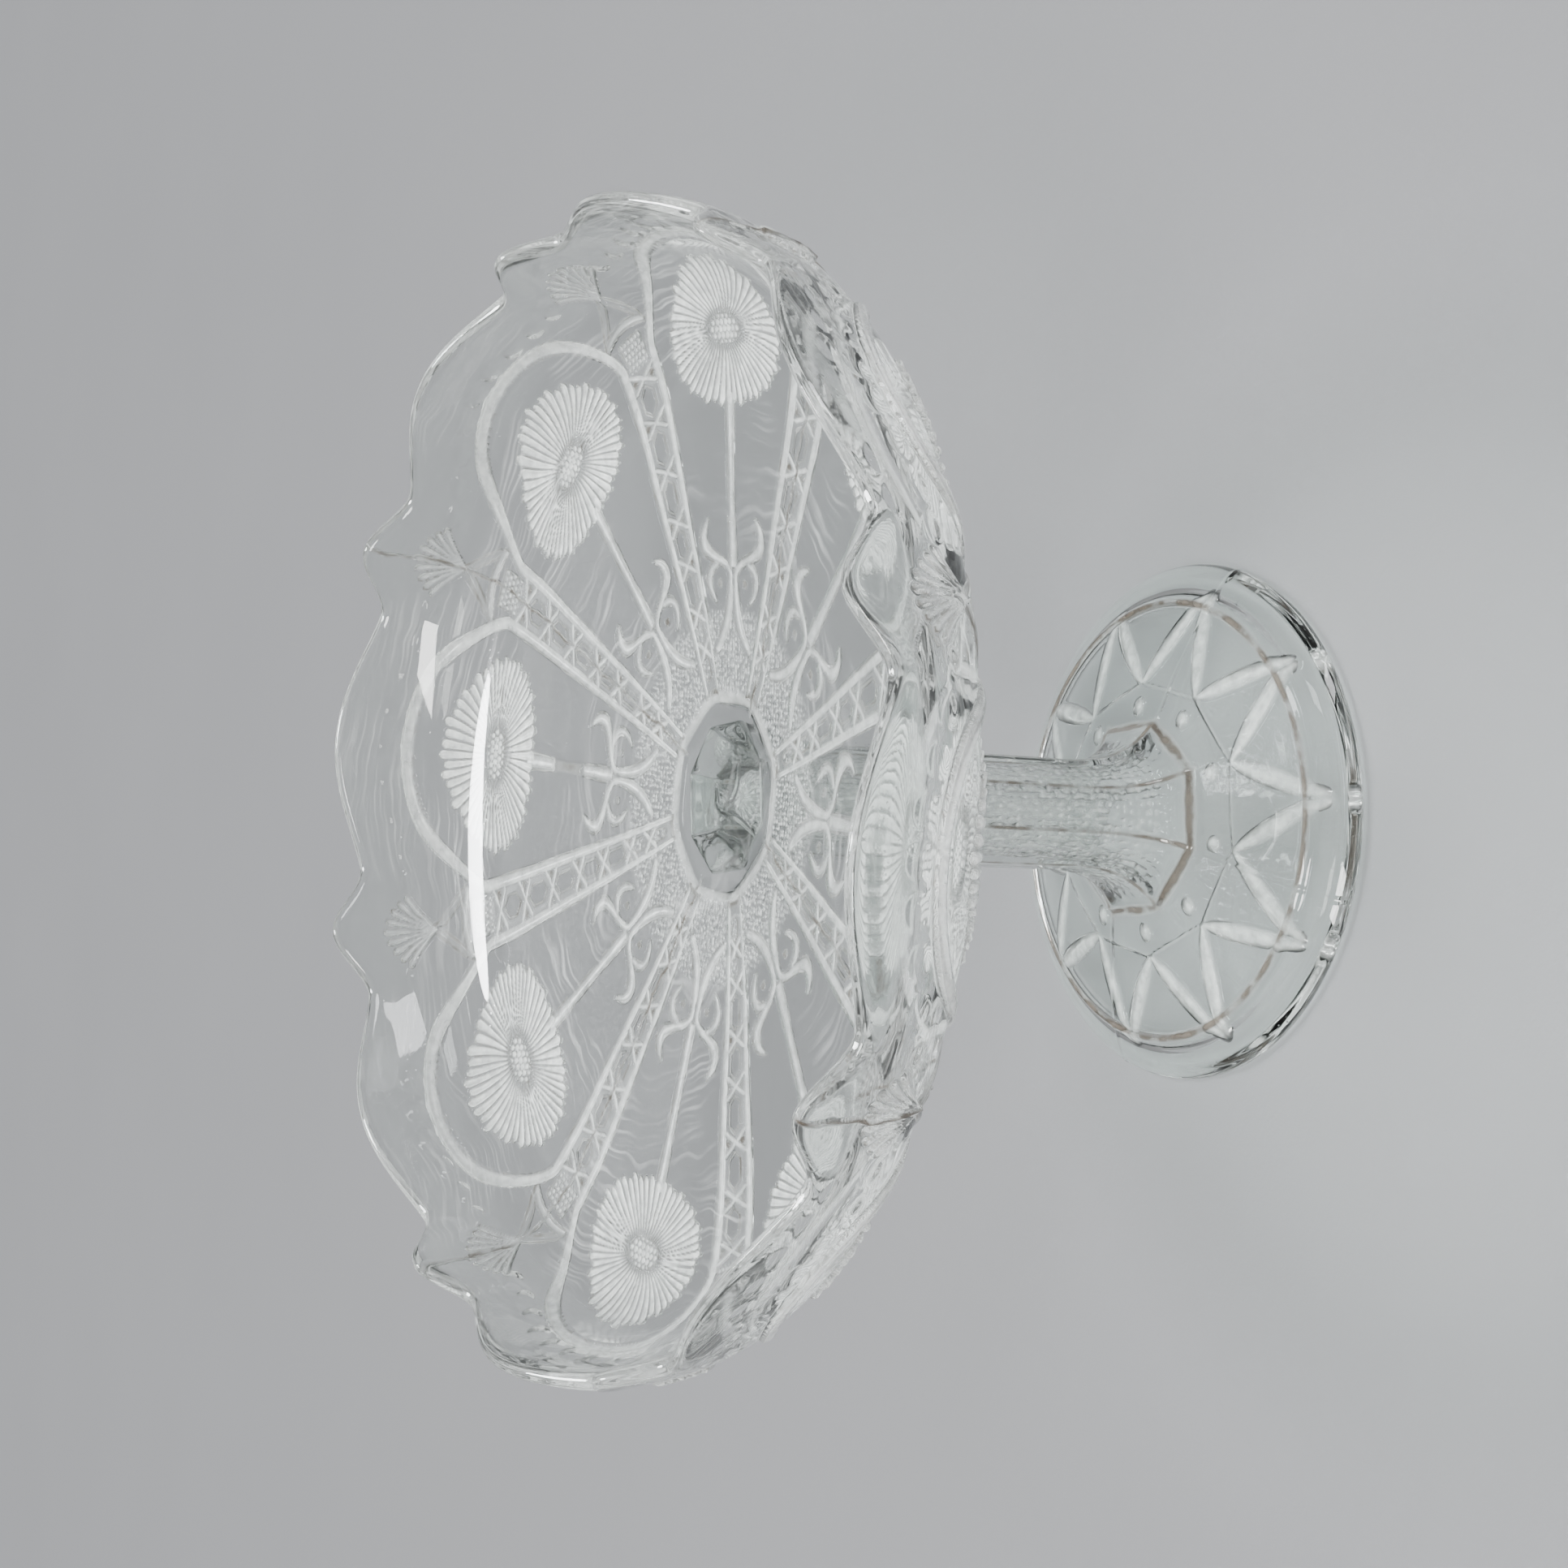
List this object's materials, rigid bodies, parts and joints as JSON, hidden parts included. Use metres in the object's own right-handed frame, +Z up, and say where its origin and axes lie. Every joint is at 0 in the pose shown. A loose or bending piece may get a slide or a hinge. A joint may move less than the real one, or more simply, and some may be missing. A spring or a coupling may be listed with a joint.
{
  "type": "footed glass cake stand",
  "caption": "Footed pressed-glass cake stand: scalloped round dish with ribs and daisies in relief, on an octagonal stem and a round domed foot.",
  "frame": {"origin": "centre of the foot's resting ring, on the surface it stands on", "axes": "+Z up along the stem's axis to the dish; the dish's ribs lie at 22.5 degrees from +X and every 45 degrees round"},
  "size_m": [0.221, 0.221, 0.1529],
  "materials": {
    "dish": "clear pressed glass, fire-polished inside",
    "pedestal": "clear pressed glass"
  },
  "bodies": {
    "root": {"dish": "dish", "pedestal": "pedestal"}
  },
  "joints": []
}
